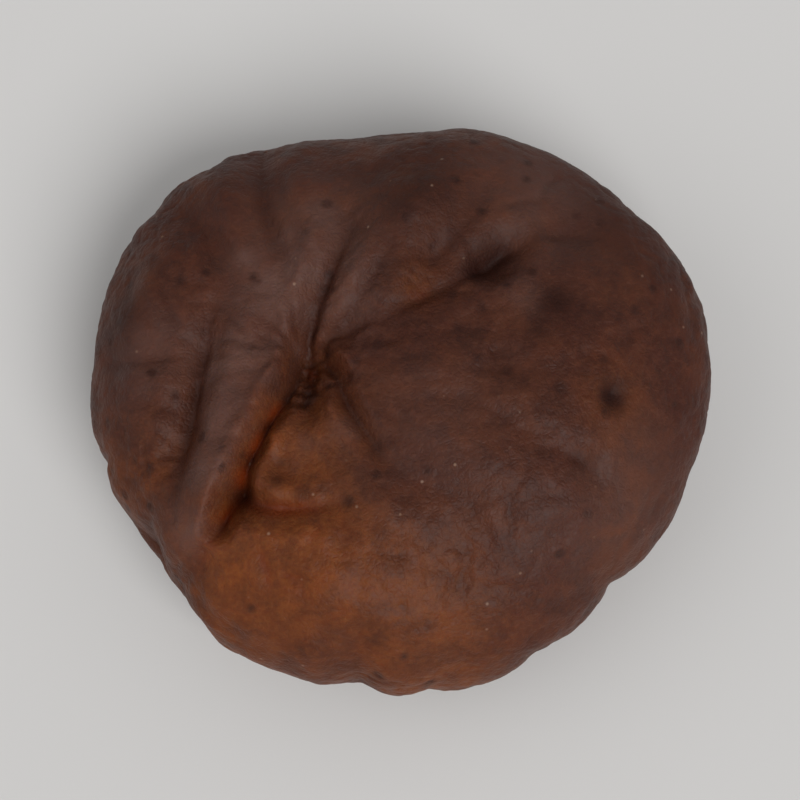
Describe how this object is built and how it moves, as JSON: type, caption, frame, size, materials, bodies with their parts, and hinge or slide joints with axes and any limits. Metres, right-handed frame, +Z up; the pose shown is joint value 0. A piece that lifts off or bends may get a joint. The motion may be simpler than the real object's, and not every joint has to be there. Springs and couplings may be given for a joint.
{
  "type": "dried apricot",
  "caption": "Whole stoned dried apricot: a leathery, wrinkled cushion of flesh with a puckered stem end and a deep suture groove, lying on its flatter side.",
  "frame": {"origin": "on the surface that the fruit lies on, under the middle of its bounding box", "axes": "+Z up, out of the puckered side; +X along the fruit's width, towards the broad dome; +Y towards its back lobes, away from the notch in the front rim"},
  "size_m": [0.032, 0.03, 0.013],
  "materials": {
    "apricot_skin": "satin"
  },
  "bodies": {
    "root": {"dried_apricot": "apricot_skin"}
  },
  "joints": []
}
